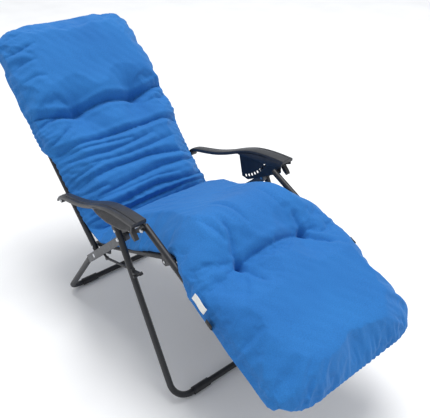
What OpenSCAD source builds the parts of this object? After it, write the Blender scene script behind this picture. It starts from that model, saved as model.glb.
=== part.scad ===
// Zero gravity recliner: folding tube frame, slung fabric panels and a tufted full-length cushion.
// Millimetres. +Z up, +X towards the feet, -Y is the sitter's right. The origin is on the floor
// under the middle of the chair. The side profile is laid out from the front floor bar.

/* [Tubes] */
// Outside diameter of the frame tubes
tube_d = 20; // [18:1:22]
// Half distance between the seat rails' centre lines
rail_y = 234.5; // [230:0.5:236]
// Wall of the frame tubes
tube_wall = 1.2; // [1:0.1:1.5]
// Side gap between neighbouring tubes
layer_gap = 1; // [0.8:0.1:1.2]
// Height of the floor bars' centre line above the floor
floor_bar_z = 12.5; // [12:0.5:14]
// Distance between the front and the rear floor bars
floor_span = 708; // [690:1:730]

/* [Angles] */
// Front leg above the floor, degrees
front_leg_angle = 63.5; // [62:0.5:65]
// Backrest above horizontal, degrees
back_angle = 45.4; // [44:0.1:47]
// Leg rest below horizontal, degrees
leg_rest_angle = 25.5; // [24:0.5:27]

/* [Lengths] */
// Seat hinge to the back tube's top bar
back_len = 790; // [770:5:810]
// Knee hinge to the leg rest's end bar
leg_rest_len = 492; // [480:1:500]
// Height of the leg rest tube over the knee hinge
knee_lug_h = 18; // [16:1:20]
// Leg rest tube above the knee hinge, up to the armrest
crank_len = 108; // [100:1:112]

/* [Armrests] */
// Thickness of the armrest's top slab
arm_slab = 13; // [11:1:15]
// Outside edge of the armrest at the front, from the middle
arm_outer = 316; // [314:1:320]
// Width of the armrest at the front
arm_w = 49.5; // [48:0.5:49.5]

/* [Cushion] */
// Width of the cushion
cushion_w = 512; // [490:2:520]
// Thickness of the cushion on the back and the leg rest
cushion_t = 66; // [55:1:72]
// Thickness of the cushion on the seat
seat_cushion_t = 80; // [70:1:84]
// Corner radius of the cushion in plan
cushion_corner = 38; // [25:1:45]

/* [Hidden] */
$fn = 48;

tube_r = tube_d / 2;
layer = tube_d + layer_gap;
frame_y = rail_y + layer;
rear_leg_y = frame_y + layer;
front_leg_y = rear_leg_y + layer;

// Points of the side profile as [x, z], from the front floor bar
back_hinge = [-498, 312];
knee_hinge = [-70, 492];
leg_pivot = [-452, 312];
cross_z = 496;
lock_z = 520;
leg_top_z = 527;
armrest_hinge_len = 192;

seat_run = knee_hinge - back_hinge;
seat_len = norm(seat_run);
seat_angle = atan2(seat_run.y, seat_run.x);

// Half angles between the seat and the back, and between the seat and the leg rest
crease_half = (180 - back_angle - seat_angle) / 2;
knee_half = (180 - leg_rest_angle - seat_angle) / 2;

// Shift that puts the origin under the middle of the bounding box
head_x = back_hinge.x - (back_len + 24) * cos(back_angle);
foot_x = knee_hinge.x + (leg_rest_len + 22) * cos(leg_rest_angle)
    + (knee_lug_h + 12 + cushion_t) * sin(leg_rest_angle);
mid_x = (head_x + foot_x) / 2;

hinge_bolt_r = 4;
bolt_fit = 0.05;
plate_t = 2;
front_corner_r = 62;
rear_corner_r = 48;
bend_swell = 0.4;
rear_bend_len = 71.6;
back_corner_r = 70;
foot_corner_r = 60;
sleeve_r = 13;
sleeve_len = 62;
sling_t = 1.6;
cushion_lift = 13;
mitre_gap = 1.5;
sling_half_w = 205;
seat_pad_half_w = 244;
lace_r = 1.5;

steel = [0.06, 0.06, 0.065];
plastic = [0.13, 0.13, 0.14];
grey = [0.34, 0.34, 0.35];
zinc = [0.75, 0.76, 0.78];
blue = [0.13, 0.42, 0.75];
dark_blue = [0.05, 0.16, 0.36];

// Steps along a Y-parallel hinge line in the chair's side profile
function front_leg_x(z) = -(z - floor_bar_z) / tan(front_leg_angle);
function polar(len, a) = [len * cos(a), len * sin(a)];
cross_pivot = [front_leg_x(cross_z), cross_z];
lock_pivot = [front_leg_x(lock_z), lock_z];
arm_rear_pivot = back_hinge + polar(armrest_hinge_len, 180 - back_angle);
arm_front_pivot = knee_hinge + polar(crank_len, 180 - leg_rest_angle)
    + polar(knee_lug_h, 90 - leg_rest_angle);

module at(p) { translate([p.x - mid_x, 0, p.y]) children(); }
// Frames whose X runs towards the feet and Z towards the sitter
module on_seat() { at(back_hinge) rotate([0, -seat_angle, 0]) children(); }
module on_back() { at(back_hinge) rotate([0, back_angle, 0]) children(); }
module on_leg_rest() { at(knee_hinge) rotate([0, leg_rest_angle, 0]) children(); }
module both_sides() { children(); mirror([0, 1, 0]) children(); }
// Cylinder along Y from y0 to y1
module y_rod(r, y0, y1) { translate([0, y0, 0]) rotate([-90, 0, 0]) cylinder(r = r, h = y1 - y0); }
module x_rod(r, x0, x1) { translate([x0, 0, 0]) rotate([0, 90, 0]) cylinder(r = r, h = x1 - x0); }
// Tubes with a wall, along X and along Y
module x_tube(x0, x1) {
    difference() {
        x_rod(tube_r, x0, x1);
        x_rod(tube_r - tube_wall, x0 - 1, x1 + 1);
    }
}
module y_tube(r, y0, y1) {
    difference() {
        y_rod(r, y0, y1);
        y_rod(r - tube_wall, y0 - 1, y1 + 1);
    }
}
// Extrudes a side-profile outline from y0 to y1
module side_plate(y0, y1) {
    translate([0, y1, 0]) rotate([90, 0, 0]) linear_extrude(height = y1 - y0) children();
}
// Quarter bend in the XY plane from +X travel to +Y travel, centred on [0, bend_r]
module quarter_bend(bend_r, r) {
    translate([0, bend_r, 0]) rotate([0, 0, -90]) rotate_extrude(angle = 90)
        translate([bend_r, 0]) circle(r = r);
}
// U-shaped rod lying in XY: legs from x0 to x1 at +-half_w, with the cross bar at x1
module u_rod(x0, x1, half_w, bend_r, r) {
    both_sides() {
        translate([0, -half_w, 0]) x_rod(r, x0, x1 - bend_r);
        translate([x1 - bend_r, -half_w, 0]) quarter_bend(bend_r, r);
    }
    translate([x1, 0, 0]) y_rod(r, -half_w + bend_r, half_w - bend_r);
}
module u_tube(x0, x1, half_w, bend_r) {
    difference() {
        u_rod(x0, x1, half_w, bend_r, tube_r);
        u_rod(x0 - 1, x1, half_w, bend_r, tube_r - tube_wall);
    }
}
// Bolt along Y with a domed head on the outside of the left side
module side_bolt(r, y0, y1, head_r = 7.5, head_h = 4) {
    y_rod(r, y0, y1);
    translate([0, y1, 0]) rotate([-90, 0, 0]) cylinder(r1 = head_r, r2 = head_r * 0.7, h = head_h);
}
// Bolt through a rail and the frame beside it, with its nut on the inside and a flush end outside
module hinge_bolt() {
    y_rod(hinge_bolt_r, rail_y - tube_r - 5, frame_y + tube_r + 0.6);
    y_rod(7, rail_y - tube_r - 5, rail_y - tube_r - 0.5);
}
// Sweeps a thin cord along points lying in the XY plane
function heading(p, i) = let(n = len(p), a = p[max(i - 1, 0)], b = p[min(i + 1, n - 1)])
    atan2(b.y - a.y, b.x - a.x);
module flat_cord(p, r, sides = 6) {
    n = len(p);
    pts = [for (i = [0:n - 1]) for (k = [0:sides - 1])
        let(h = heading(p, i), w = 360 * k / sides)
        [p[i].x - sin(h) * r * cos(w), p[i].y + cos(h) * r * cos(w), r * sin(w)]];
    walls = [for (i = [0:n - 2]) for (k = [0:sides - 1]) let(m = (k + 1) % sides)
        [i * sides + k, i * sides + m, (i + 1) * sides + m, (i + 1) * sides + k]];
    first = [for (k = [sides - 1:-1:0]) k];
    last = [for (k = [0:sides - 1]) (n - 1) * sides + k];
    polyhedron(points = pts, faces = concat([first], walls, [last]));
}
// Zigzag of elastic cord between a tube and the hem of a sling
module lacing(x0, x1, count, inner, outer) {
    step = (x1 - x0) / count;
    both_sides() flat_cord([for (i = [0:count]) [x0 + i * step, i % 2 == 0 ? inner : outer]], lace_r);
}
module sling(x0, x1, z) {
    translate([x0, -sling_half_w, z]) cube([x1 - x0, 2 * sling_half_w, sling_t]);
}
// Flat pad with rounded plan corners at one end or both
module pad(x0, x1, z0, t, round_low, round_high) {
    r = cushion_corner;
    w = cushion_w / 2;
    translate([0, 0, z0]) linear_extrude(height = t) union() {
        translate([x0 + (round_low ? r : 0), -w])
            square([x1 - x0 - (round_low ? r : 0) - (round_high ? r : 0), 2 * w]);
        if (round_low) for (s = [-1, 1]) translate([x0 + r, s * (w - r)]) circle(r = r);
        if (round_low) translate([x0, -w + r]) square([r + 1, 2 * (w - r)]);
        if (round_high) for (s = [-1, 1]) translate([x1 - r, s * (w - r)]) circle(r = r);
        if (round_high) translate([x1 - r - 1, -w + r]) square([r + 1, 2 * (w - r)]);
    }
}

// ---- seat frame ----
module seat_rail() {
    color(steel) difference() {
        on_seat() translate([0, rail_y, 0]) x_tube(-16, seat_len + 16);
        at(back_hinge) y_rod(hinge_bolt_r + bolt_fit, 200, 300);
        at(knee_hinge) y_rod(hinge_bolt_r + bolt_fit, 200, 300);
    }
}
module seat_rail_left() { seat_rail(); }
module seat_rail_right() { mirror([0, 1, 0]) seat_rail(); }
module seat_cross_tube(x) {
    color(steel) on_seat() translate([x, 0, 0]) y_tube(tube_r, -rail_y + tube_r - 0.8, rail_y - tube_r + 0.8);
}
module seat_rear_cross_tube() { seat_cross_tube(28); }
module seat_front_cross_tube() { seat_cross_tube(seat_len - 34); }
// Plates under the rails that carry the rear legs' pivots
module seat_leg_brackets() {
    color(steel) both_sides() difference() {
        union() {
            on_seat() side_plate(rail_y + tube_r - 4, rail_y + tube_r)
                polygon([[30, -4], [92, -4], [78, -26], [20, -26]]);
            at(leg_pivot) y_rod(10, rail_y + tube_r - 4, rail_y + tube_r);
        }
        at(leg_pivot) y_rod(hinge_bolt_r + bolt_fit, 200, 300);
        on_seat() translate([0, rail_y, 0]) x_rod(tube_r, -16, seat_len + 16);
    }
}
module leg_pivot_bolts() {
    color(zinc) both_sides() at(leg_pivot)
        side_bolt(hinge_bolt_r, rail_y + 4, rear_leg_y + tube_r + 0.2, 7, 0.6);
}
module seat_sling() { color(dark_blue) on_seat() sling(45, seat_len - 52, -6); }
module seat_lacing() { color(dark_blue) on_seat() translate([0, 0, -5])
    lacing(50, seat_len - 57, 14, sling_half_w + 2, rail_y - tube_r - 1.8); }
// The seat's pad is mitred against the back's pad behind and the leg rest's pad in front
module seat_cushion() {
    top = cushion_lift + seat_cushion_t;
    color(blue) on_seat() side_plate(-seat_pad_half_w, seat_pad_half_w)
        polygon([[cushion_lift / tan(crease_half) + mitre_gap, cushion_lift],
            [top / tan(crease_half) + mitre_gap, top],
            [seat_len + top / tan(knee_half) - mitre_gap, top],
            [seat_len + cushion_lift / tan(knee_half) - mitre_gap, cushion_lift]]);
}

// ---- back ----
module back_hinge_bolts() {
    color(zinc) both_sides() at(back_hinge)
        hinge_bolt();
}
module back_tube() {
    color(steel) difference() {
        on_back() mirror([1, 0, 0]) u_tube(-14, back_len, frame_y, back_corner_r);
        both_sides() at(back_hinge) y_rod(hinge_bolt_r + bolt_fit, 240, 300);
        both_sides() at(arm_rear_pivot) y_rod(hinge_bolt_r + bolt_fit, 240, 300);
    }
}
module back_cross_tube() {
    color(steel) on_back() translate([-72, 0, -tube_r - 3])
        y_tube(8, -frame_y + 3, frame_y - 3);
}
module back_sling() { color(dark_blue) on_back() sling(-back_len + 30, -92, -4); }
module back_lacing() { color(dark_blue) on_back() translate([0, 0, -3])
    lacing(-back_len + 80, -98, 26, sling_half_w + 2, frame_y - tube_r - 1.8); }
module back_cushion() {
    color(blue) intersection() {
        on_back() pad(-back_len - 24, 0, cushion_lift, cushion_t, true, false);
        on_back() side_plate(-400, 400) polygon([[-1000, 0], [-mitre_gap, 0],
            [-200 / tan(crease_half) - mitre_gap, 200], [-1000, 200]]);
    }
}

// ---- leg rest ----
module knee_hinge_bolts() {
    color(zinc) both_sides() at(knee_hinge)
        hinge_bolt();
}
module leg_rest_tube() {
    color(steel) on_leg_rest() translate([0, 0, knee_lug_h])
        u_tube(-crank_len - 10, leg_rest_len, frame_y, foot_corner_r);
}
module leg_rest_cross_tube() {
    color(steel) on_leg_rest() translate([64, 0, knee_lug_h - 6])
        y_tube(8, -frame_y + 5, frame_y - 5);
}
// Lugs that hang the leg rest on the knee hinge
module knee_lugs() {
    color(steel) both_sides() difference() {
        union() {
            on_leg_rest() side_plate(frame_y - tube_r + 1, frame_y + tube_r - 1)
                polygon([[-20, knee_lug_h - 4], [22, knee_lug_h - 4], [10, -8], [-8, -8]]);
            at(knee_hinge) y_rod(11, frame_y - tube_r + 1, frame_y + tube_r - 1);
        }
        at(knee_hinge) y_rod(hinge_bolt_r + bolt_fit, 200, 300);
        on_leg_rest() translate([0, frame_y, knee_lug_h]) x_rod(tube_r, -80, 80);
    }
}
module leg_rest_sling() {
    color(dark_blue) on_leg_rest() sling(84, leg_rest_len - 28, knee_lug_h - 4);
}
module leg_rest_lacing() { color(dark_blue) on_leg_rest() translate([0, 0, knee_lug_h - 3])
    lacing(92, leg_rest_len - 78, 12, sling_half_w + 2, frame_y - tube_r - 1.8); }
module leg_rest_cushion() {
    low = knee_lug_h + 12;
    color(blue) intersection() {
        on_leg_rest() pad(-100, leg_rest_len + 22, low, cushion_t, false, true);
        on_leg_rest() side_plate(-400, 400) polygon([[mitre_gap, 0], [1000, 0], [1000, 200],
            [mitre_gap - 200 / tan(knee_half), 200]]);
    }
}
// Webbing strap behind the leg rest that holds the cushion down
module leg_rest_strap() {
    color(plastic) on_leg_rest() translate([232, -frame_y - 2, knee_lug_h - tube_r - 4])
        cube([25, 2 * frame_y + 4, 1.6]);
}

// ---- legs ----
rear_bar = [-floor_span, floor_bar_z];
arm_dir = atan2(cross_pivot.y - leg_pivot.y, cross_pivot.x - leg_pivot.x);
rear_bend = leg_pivot - polar(rear_bend_len, arm_dir);
rear_low_angle = atan2(rear_bend.y - floor_bar_z, rear_bend.x + floor_span);
arm_reach = norm(cross_pivot - leg_pivot);
arm_low = -58;
socket_len = 24;
rear_arm_in = rear_leg_y - 4.5;
rear_arm_out = rear_leg_y + tube_r;

module rear_leg_tube() {
    low_len = norm(rear_bend - rear_bar);
    color(steel) difference() {
        rear_leg_rod(low_len, tube_r);
        rear_leg_rod(low_len, tube_r - tube_wall);
    }
}
module rear_leg_rod(low_len, r) {
    at(rear_bend) rotate([0, 180 - rear_low_angle, 0])
        u_rod(0, low_len, rear_leg_y, rear_corner_r, r);
    both_sides() {
        at(rear_bend) translate([0, rear_leg_y, 0]) sphere(r = r + bend_swell);
        at(leg_pivot) rotate([0, -arm_dir, 0]) translate([0, rear_leg_y, 0])
            x_rod(r, -rear_bend_len, arm_low + socket_len + (tube_r - r));
    }
}
// Flat-oval bar that carries the rear leg from the seat pivot up to the crossing bolt
module rear_arm() {
    color(grey) difference() {
        at(leg_pivot) rotate([0, -arm_dir, 0]) difference() {
            union() {
                side_plate(rear_arm_in, rear_arm_out)
                    polygon([[arm_low, -13], [arm_reach, -12], [arm_reach, 12], [arm_low, 13]]);
                translate([arm_reach, 0, 0]) y_rod(12, rear_arm_in, rear_arm_out);
            }
            translate([0, rear_leg_y, 0]) x_rod(tube_r, arm_low - 30, arm_low + socket_len);
        }
        at(leg_pivot) y_rod(hinge_bolt_r + bolt_fit, 240, 320);
        at(cross_pivot) y_rod(hinge_bolt_r + bolt_fit, 240, 320);
    }
}
module rear_arm_left() { rear_arm(); }
module rear_arm_right() { mirror([0, 1, 0]) rear_arm(); }
// Rods fixed under the rear arms whose hooked ends stop the front legs from opening further
stop_hook = [front_leg_x(392) + 16, 398];
eye_half = 4.6;
module leg_stop_rods() {
    r = 4;
    low = [-372, 343];
    top = [-392, 352];
    color(steel) both_sides() {
        rod_piece(top, low, r);
        rod_piece(low, stop_hook, r);
        at(stop_hook) y_rod(r, rear_leg_y + 3, front_leg_y + 8);
        for (p = [low, stop_hook]) at(p) y_rod(r + 1.5, rear_leg_y + 3 - eye_half, rear_leg_y + 3 + eye_half);
    }
}
module rod_piece(a, b, r) {
    d = b - a;
    at(a) translate([0, rear_leg_y + 3, 0]) rotate([0, -atan2(d.y, d.x), 0]) x_rod(r, 0, norm(d));
}
module cross_pivot_bolts() {
    color(zinc) both_sides() at(cross_pivot)
        side_bolt(hinge_bolt_r, rear_arm_in, front_leg_y + tube_r + 0.4, 6.5, 3);
}
module floor_sleeve(bar, half_w, corner_r) {
    color(plastic) both_sides() difference() {
        translate([bar.x - mid_x, half_w - corner_r - sleeve_len - 6, bar.y]) rotate([-90, 0, 0])
            cylinder(r = sleeve_r, h = sleeve_len);
        at(bar) y_rod(tube_r, 0, 400);
        translate([bar.x - mid_x - 40, 0, -20]) cube([80, 400, 20]);
    }
}
module rear_floor_sleeves() { floor_sleeve(rear_bar, rear_leg_y, rear_corner_r); }
module front_leg_tube() {
    leg_len = norm([front_leg_x(leg_top_z), leg_top_z - floor_bar_z]);
    color(steel) difference() {
        at([0, floor_bar_z]) rotate([0, front_leg_angle, 0])
            u_tube(-leg_len, 0, front_leg_y, front_corner_r);
        both_sides() at(cross_pivot) y_rod(hinge_bolt_r + bolt_fit, 280, 320);
        both_sides() at(lock_pivot) y_rod(hinge_bolt_r, 280, 320);
    }
}
module front_leg_caps() {
    color(plastic) both_sides() at([front_leg_x(leg_top_z), leg_top_z])
        rotate([0, front_leg_angle, 0]) translate([0, front_leg_y, 0]) x_rod(tube_r, -4, 0);
}
module lock_bolts() {
    color(zinc) both_sides() at(lock_pivot) y_rod(hinge_bolt_r, rear_arm_in + 0.5, front_leg_y + tube_r + 2);
}
// Small hook on the front leg that catches the rear leg when the chair is folded
module transport_clips() {
    color(plastic) both_sides() at([front_leg_x(404), 404]) rotate([0, front_leg_angle, 0])
        difference() {
            side_plate(front_leg_y - 6, front_leg_y + 6)
                polygon([[-14, 0], [10, 0], [10, 22], [4, 24], [2, 16], [-8, 15]]);
            translate([0, front_leg_y, 0]) x_rod(tube_r, -40, 40);
        }
}
module front_floor_sleeves() { floor_sleeve([0, floor_bar_z], front_leg_y, front_corner_r); }

// ---- armrests ----
arm_top = [[-646, 452], [-628, 468], [-598, 480], [-536, 495], [-475, 512], [-415, 535],
    [-355, 562], [-296, 583], [-240, 594], [-190, 599], [-143, 601]];
// Smooth line through hand-chosen points
function spline_pt(p, i, t) = let(n = len(p), a = p[max(i - 1, 0)], b = p[i], c = p[i + 1],
    d = p[min(i + 2, n - 1)])
    0.5 * (2 * b + (c - a) * t + (2 * a - 5 * b + 4 * c - d) * t * t
    + (3 * b - a - 3 * c + d) * t * t * t);
function smooth_line(p, n) = concat([for (i = [0:len(p) - 2]) for (k = [0:n - 1])
    spline_pt(p, i, k / n)], [p[len(p) - 1]]);
function reversed(p) = [for (i = [len(p) - 1:-1:0]) p[i]];
function lowered(p, d) = [for (q = p) [q.x, q.y - d]];
arm_line = smooth_line(arm_top, 3);
arm_inner = arm_outer - arm_w;
skirt_t = 2.5;
module armrest() {
    color(plastic) difference() {
        union() {
            intersection() {
                translate([-mid_x, 0, 0]) side_plate(arm_inner, arm_outer)
                    polygon(concat(arm_line, reversed(lowered(arm_line, arm_slab))));
                translate([-mid_x, 0, 400]) linear_extrude(height = 240)
                    polygon([[-660, arm_inner], [-130, arm_inner], [-130, arm_outer],
                        [-300, arm_outer - 2], [-660, arm_outer - 17]]);
            }
            translate([-mid_x, 0, 0]) side_plate(arm_outer - 2 - skirt_t, arm_outer - 2)
                polygon([[-372, 548], [-338, 538], [-286, 536], [-212, 548], [-147, 574],
                    [-147, 590], [-240, 586], [-300, 574], [-355, 554]]);
            translate([-mid_x, 0, 0]) side_plate(arm_inner, arm_inner + skirt_t)
                polygon([[-372, 548], [-340, 546], [-286, 556], [-212, 560], [-147, 574],
                    [-147, 590], [-240, 586], [-300, 574], [-355, 554]]);
            at(arm_rear_pivot) y_rod(11, arm_inner, arm_inner + 26);
        }
        at(arm_rear_pivot) y_rod(hinge_bolt_r + bolt_fit, 240, 330);
        at(arm_rear_pivot) y_rod(8.2, arm_inner + 26, arm_inner + 31);
    }
}
module armrest_left() { armrest(); }
module armrest_right() { mirror([0, 1, 0]) armrest(); }
module armrest_bolt() {
    color(zinc) at(arm_rear_pivot) side_bolt(hinge_bolt_r, frame_y - tube_r - 2, arm_inner + 26.5, 7.5, 3.5);
}
module armrest_bolt_left() { armrest_bolt(); }
module armrest_bolt_right() { mirror([0, 1, 0]) armrest_bolt(); }
// Steel plate under the armrest with the arc slot that the lock bolt follows as the chair reclines
slot_up = 22;
slot_down = 18;
module lock_plate() {
    crank = 180 - back_angle;
    centre = lock_pivot + polar(armrest_hinge_len, crank);
    color(steel) difference() {
        translate([-mid_x, 0, 0]) side_plate(arm_inner + skirt_t + 0.2, arm_inner + skirt_t + 0.2 + plate_t)
            polygon([[-352, 548], [-334, 470], [-304, 466], [-176, 538], [-150, 556], [-150, 572],
                [-240, 578], [-300, 566]]);
        for (i = [0:8]) let(a = crank - slot_up + (slot_up + slot_down) * i / 8)
            at(centre - polar(armrest_hinge_len, a)) y_rod(hinge_bolt_r + 1, 240, 300);
    }
}
module lock_plate_left() { lock_plate(); }
module lock_plate_right() { mirror([0, 1, 0]) lock_plate(); }
module armrest_front_bolt() {
    color(zinc) at(arm_front_pivot) side_bolt(hinge_bolt_r, arm_inner + 0.2, arm_inner + skirt_t + 6, 7, 3);
}
module armrest_front_bolt_left() { armrest_front_bolt(); }
module armrest_front_bolt_right() { mirror([0, 1, 0]) armrest_front_bolt(); }
// Finger lever that frees the recline lock
lever_pivot = [-168, 566];
lever_pin_r = 3;
module lock_lever() {
    color(plastic) at(lever_pivot) difference() {
        union() {
            side_plate(arm_outer - 22, arm_outer - 8)
                polygon([[-4, -5], [2, 5], [20, -12], [26, -22], [21, -27], [6, -18]]);
            y_rod(7, arm_outer - 22, arm_outer - 8);
        }
        y_rod(lever_pin_r + bolt_fit, 240, 330);
    }
}
module lock_lever_pin() {
    color(zinc) at(lever_pivot) y_rod(lever_pin_r, arm_inner + skirt_t + 0.2 + plate_t, arm_outer - 2 - skirt_t);
}
module lock_lever_pin_left() { lock_lever_pin(); }
module lock_lever_pin_right() { mirror([0, 1, 0]) lock_lever_pin(); }
module lock_lever_left() { lock_lever(); }
module lock_lever_right() { mirror([0, 1, 0]) lock_lever(); }

seat_rail_left();
seat_rail_right();
seat_rear_cross_tube();
seat_front_cross_tube();
seat_leg_brackets();
leg_pivot_bolts();
seat_sling();
seat_lacing();
seat_cushion();
back_hinge_bolts();
back_tube();
back_cross_tube();
back_sling();
back_lacing();
back_cushion();
knee_hinge_bolts();
leg_rest_tube();
leg_rest_cross_tube();
knee_lugs();
leg_rest_sling();
leg_rest_lacing();
leg_rest_cushion();
leg_rest_strap();
rear_leg_tube();
rear_arm_left();
rear_arm_right();
leg_stop_rods();
cross_pivot_bolts();
rear_floor_sleeves();
front_leg_tube();
front_leg_caps();
lock_bolts();
transport_clips();
front_floor_sleeves();
armrest_bolt_left();
armrest_bolt_right();
armrest_left();
armrest_right();
lock_plate_left();
lock_plate_right();
armrest_front_bolt_left();
armrest_front_bolt_right();
lock_lever_pin_left();
lock_lever_pin_right();
lock_lever_left();
lock_lever_right();
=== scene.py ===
"""Zero gravity recliner: pad, slings, lacing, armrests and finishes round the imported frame."""
import math

import bmesh
import bpy
import numpy as np
from mathutils import Matrix, Vector


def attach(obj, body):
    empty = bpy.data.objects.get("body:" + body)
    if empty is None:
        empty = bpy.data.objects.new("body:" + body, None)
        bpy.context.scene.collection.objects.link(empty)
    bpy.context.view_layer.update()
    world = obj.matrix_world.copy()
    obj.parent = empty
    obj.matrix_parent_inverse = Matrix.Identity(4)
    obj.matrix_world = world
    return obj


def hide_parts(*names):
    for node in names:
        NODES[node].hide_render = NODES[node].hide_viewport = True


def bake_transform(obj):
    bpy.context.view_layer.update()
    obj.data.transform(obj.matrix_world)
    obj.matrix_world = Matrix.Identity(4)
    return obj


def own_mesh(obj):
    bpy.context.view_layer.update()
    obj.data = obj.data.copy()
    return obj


bl_info = {
    "name": "Zero gravity recliner",
    "version": (1, 0, 0),
    "blender": (4, 5, 0),
    "location": "View3D > Sidebar > Recliner",
    "description": "Builds the recliner's pad, slings, lacing, armrests and finishes round its frame",
    "category": "Object",
}

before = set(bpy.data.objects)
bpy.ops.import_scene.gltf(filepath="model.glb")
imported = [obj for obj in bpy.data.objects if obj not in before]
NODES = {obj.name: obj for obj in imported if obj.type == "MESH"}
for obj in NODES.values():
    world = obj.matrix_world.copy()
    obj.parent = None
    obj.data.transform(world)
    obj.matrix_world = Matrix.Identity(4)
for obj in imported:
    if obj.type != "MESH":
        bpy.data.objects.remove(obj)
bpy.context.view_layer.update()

# ---- the chair's side profile, repeated from the part's source, in metres ----
MID_X = -0.317147
BACK_ANGLE = math.radians(45.4)
LEG_ANGLE = math.radians(25.5)
BACK_HINGE = np.array((-0.498, 0.312))
KNEE_HINGE = np.array((-0.070, 0.492))
SEAT_RUN = KNEE_HINGE - BACK_HINGE
SEAT_LEN = float(np.hypot(*SEAT_RUN))
SEAT_ANGLE = math.atan2(SEAT_RUN[1], SEAT_RUN[0])
BACK_LEN = 0.790
LEG_LEN = 0.492
KNEE_LUG = 0.018
RAIL_Y = 0.2345
FRAME_Y = 0.2555
TUBE_R = 0.010


def ray(angle):
    """Unit vector in the side profile at an angle above +X."""
    return np.array((math.cos(angle), math.sin(angle)))


def place(point, y=0.0):
    """A side-profile point as a point in the row frame."""
    return Vector((point[0] - MID_X, y, point[1]))


SEAT_UP = ray(SEAT_ANGLE + math.pi / 2)
BACK_UP = ray(math.pi / 2 - BACK_ANGLE)
LEG_UP = ray(math.pi / 2 - LEG_ANGLE)
SEAT_DIR = ray(SEAT_ANGLE)
BACK_DIR = ray(math.pi - BACK_ANGLE)
LEG_DIR = ray(-LEG_ANGLE)


def on_seat(x, y, z):
    """A point given along the seat, across it and above its rails."""
    return place(BACK_HINGE + x * SEAT_DIR + z * SEAT_UP, y)


def on_back(x, y, z):
    """A point given up the back from its hinge, across it and towards the sitter."""
    return place(BACK_HINGE + x * BACK_DIR + z * BACK_UP, y)


def on_leg(x, y, z):
    """A point given down the leg rest from its hinge, across it and above the hinge line."""
    return place(KNEE_HINGE + x * LEG_DIR + z * LEG_UP, y)


# ---- colours and nodes ----
def linear(hex_code):
    """An sRGB hex colour as linear RGBA."""
    parts = [int(hex_code[i : i + 2], 16) / 255 for i in (1, 3, 5)]
    return (*[c / 12.92 if c <= 0.04045 else ((c + 0.055) / 1.055) ** 2.4 for c in parts], 1.0)


def add(tree, kind, sockets=(), **settings):
    """Adds a node, sets its properties, and sets or links its sockets by name or number."""
    node = tree.nodes.new(kind)
    for key, value in settings.items():
        setattr(node, key, value)
    for key, value in dict(sockets).items():
        if isinstance(value, bpy.types.NodeSocket):
            tree.links.new(value, node.inputs[key])
        else:
            node.inputs[key].default_value = value
    return node


def ramp(tree, factor, stops):
    """A colour ramp with (position, linear colour) stops."""
    node = add(tree, "ShaderNodeValToRGB", {"Fac": factor})
    for i, (at, colour) in enumerate(stops):
        stop = node.color_ramp.elements[i] if i < 2 else node.color_ramp.elements.new(at)
        stop.position = at
        stop.color = colour
    return node.outputs["Color"]


def new_material(name, **shader):
    """A material with a principled shader whose sockets take the given constants."""
    material = bpy.data.materials.new(name)
    material.use_nodes = True
    tree = material.node_tree
    bsdf = tree.nodes["Principled BSDF"]
    for key, value in shader.items():
        bsdf.inputs[key.replace("_", " ")].default_value = value
    return material, tree, bsdf


def bump(tree, bsdf, height, distance, strength=1.0):
    """Feeds a height in 0..1 into the shader as a bump of that many metres."""
    node = add(tree, "ShaderNodeBump", {"Height": height, "Distance": distance, "Strength": strength})
    tree.links.new(node.outputs["Normal"], bsdf.inputs["Normal"])


def weave(tree, vector, pitch, distortion=0.0):
    """A plain weave's height in 0..1, with threads that many metres apart."""
    scale = math.pi / (20 * pitch)
    sets = [add(tree, "ShaderNodeTexWave", {"Vector": vector, "Scale": scale, "Distortion": distortion},
                bands_direction=way).outputs["Fac"] for way in "XY"]
    return add(tree, "ShaderNodeMath", {0: sets[0], 1: sets[1]}, operation="MULTIPLY").outputs[0]


def pad_polyester(light, dark):
    """Spun polyester pad cover, plain woven and soft brushed: matt, with a faint sheen at grazing angles.
    Its threads are about 0.4 mm apart, drawn at 1.6 mm so that the weave shows."""
    material, tree, bsdf = new_material(
        "SpunPolyesterPadCover", Roughness=0.82, Sheen_Weight=0.25, Sheen_Roughness=0.45, IOR=1.5
    )
    bsdf.inputs["Specular IOR Level"].default_value = 0.28
    bsdf.inputs["Sheen Tint"].default_value = linear("#8FBFF0")
    cut = add(tree, "ShaderNodeAttribute", attribute_name="cut").outputs["Vector"]
    cloudy = add(tree, "ShaderNodeTexNoise", {"Vector": cut, "Scale": 5.0, "Detail": 3.0})
    tone = ramp(tree, cloudy.outputs["Fac"], [(0.3, linear(dark)), (0.7, linear(light))])
    slub = add(tree, "ShaderNodeTexNoise", {"Vector": cut, "Scale": 420.0, "Detail": 2.0})
    grain = ramp(tree, slub.outputs["Fac"], [(0.2, linear("#DCDCDC")), (0.8, linear("#FFFFFF"))])
    mixed = add(tree, "ShaderNodeMix", {"Factor": 1.0, 6: tone, 7: grain},
                data_type="RGBA", blend_type="MULTIPLY")
    tree.links.new(mixed.outputs[2], bsdf.inputs["Base Color"])
    bump(tree, bsdf, weave(tree, cut, 0.0016, 0.6), 0.00025, 0.6)
    return material


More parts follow.
